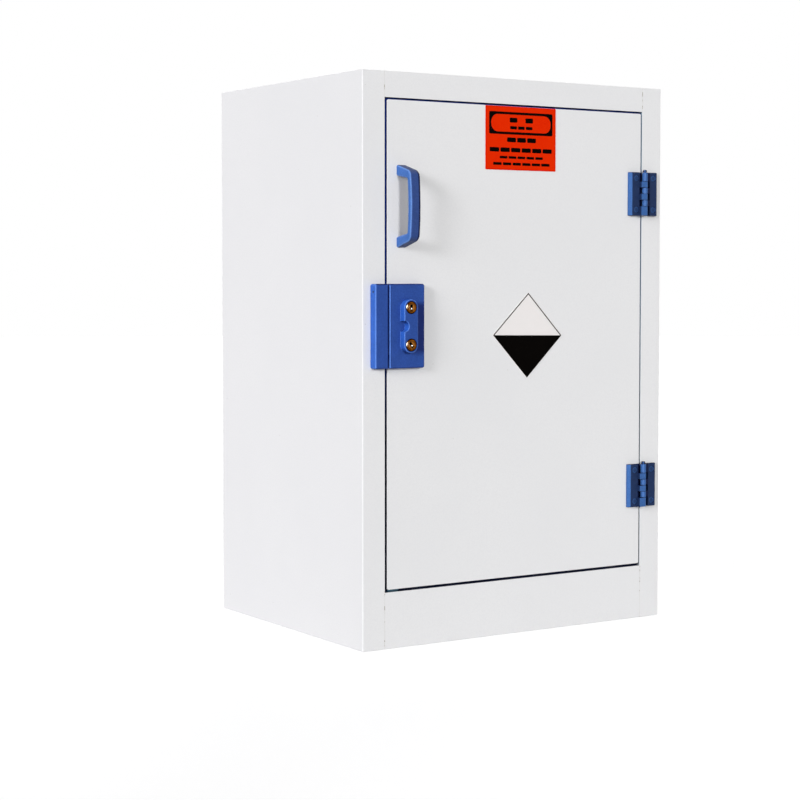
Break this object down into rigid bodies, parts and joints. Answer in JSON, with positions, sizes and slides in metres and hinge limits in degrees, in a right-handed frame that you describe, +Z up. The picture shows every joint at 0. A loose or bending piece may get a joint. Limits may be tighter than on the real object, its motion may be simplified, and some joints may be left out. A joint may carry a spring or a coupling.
{
  "type": "acid and alkali cabinet",
  "caption": "Free-standing white plastic cabinet for acids and alkalis, with a hinged door, blue pull handle, surface hinges, keyed cam locks, a loose tray shelf and a spill-retaining bottom.",
  "frame": {"origin": "middle of the carcass's footprint, on the underside of the base plate", "axes": "+X to the right of somebody facing the door, +Y from the door's side into the cabinet, +Z up"},
  "size_m": [0.59, 0.501, 0.89],
  "materials": {
    "white_plastic": "satin white polypropylene sheet",
    "blue_plastic": "satin blue moulded polypropylene",
    "dark_blue_plastic": "satin dark blue moulded plastic",
    "brass": "turned, slightly tarnished",
    "steel": "plain stainless",
    "orange_label": "printed film, no words",
    "black_and_white_label": "printed film, no words"
  },
  "bodies": {
    "cabinet": {"back_panel": "white_plastic", "base_plate": "white_plastic", "bottom_front_rail": "white_plastic", "door_stop_bottom": "blue_plastic", "door_stop_left": "blue_plastic", "door_stop_right": "blue_plastic", "door_stop_top": "blue_plastic", "hinge_frame_leaf_lower": "dark_blue_plastic", "hinge_frame_leaf_upper": "dark_blue_plastic", "hinge_pin_lower": "dark_blue_plastic", "hinge_pin_upper": "dark_blue_plastic", "hinge_screw_frame_lower_bottom": "dark_blue_plastic", "hinge_screw_frame_lower_top": "dark_blue_plastic", "hinge_screw_frame_upper_bottom": "dark_blue_plastic", "hinge_screw_frame_upper_top": "dark_blue_plastic", "keeper_screw_lower": "steel", "keeper_screw_upper": "steel", "keeper_side_screw": "steel", "lock_keeper": "blue_plastic", "shelf_rail_left": "white_plastic", "shelf_rail_right": "white_plastic", "side_panel_left": "white_plastic", "side_panel_right": "white_plastic", "spill_tray_floor": "white_plastic", "top_front_rail": "white_plastic", "top_panel": "white_plastic"},
    "door": {"door_edge_seal": "dark_blue_plastic", "door_frame_bottom": "white_plastic", "door_frame_left": "white_plastic", "door_frame_right": "white_plastic", "door_frame_top": "white_plastic", "door_inner_skin": "white_plastic", "door_outer_skin": "white_plastic", "handle": "blue_plastic", "handle_screw_lower": "steel", "handle_screw_upper": "steel", "hinge_door_leaf_lower": "dark_blue_plastic", "hinge_door_leaf_upper": "dark_blue_plastic", "hinge_screw_door_lower_bottom": "dark_blue_plastic", "hinge_screw_door_lower_top": "dark_blue_plastic", "hinge_screw_door_upper_bottom": "dark_blue_plastic", "hinge_screw_door_upper_top": "dark_blue_plastic", "label_diamond": "black_and_white_label", "label_panel": "orange_label", "lock_barrel_lower": "brass", "lock_barrel_upper": "brass", "lock_case": "blue_plastic", "lock_case_screw_lower": "steel", "lock_case_screw_upper": "steel", "lock_nut_lower": "brass", "lock_nut_upper": "brass"},
    "upper_lock": {"lock_plug_upper": "brass", "lock_cam_upper": "steel", "cam_screw_upper": "steel"},
    "lower_lock": {"lock_plug_lower": "brass", "lock_cam_lower": "steel", "cam_screw_lower": "steel"},
    "shelf": {"shelf": "white_plastic"}
  },
  "joints": [
    {"name": "door_swing", "type": "hinge", "parent": "cabinet", "child": "door", "pos_m": [0.254, -0.2386, 0.469], "axis": [0, 0, 1], "range_deg": [0, 180]},
    {"name": "upper_lock_turn", "type": "hinge", "parent": "door", "child": "upper_lock", "pos_m": [-0.2233, -0.2382, 0.5287], "axis": [0, 1, 0], "range_deg": [0, 90]},
    {"name": "lower_lock_turn", "type": "hinge", "parent": "door", "child": "lower_lock", "pos_m": [-0.2233, -0.2352, 0.4713], "axis": [0, -1, 0], "range_deg": [0, 90]},
    {"name": "shelf_lift", "type": "slide", "parent": "cabinet", "child": "shelf", "axis": [0, 0, 1], "range_m": [0, 0.03]}
  ]
}
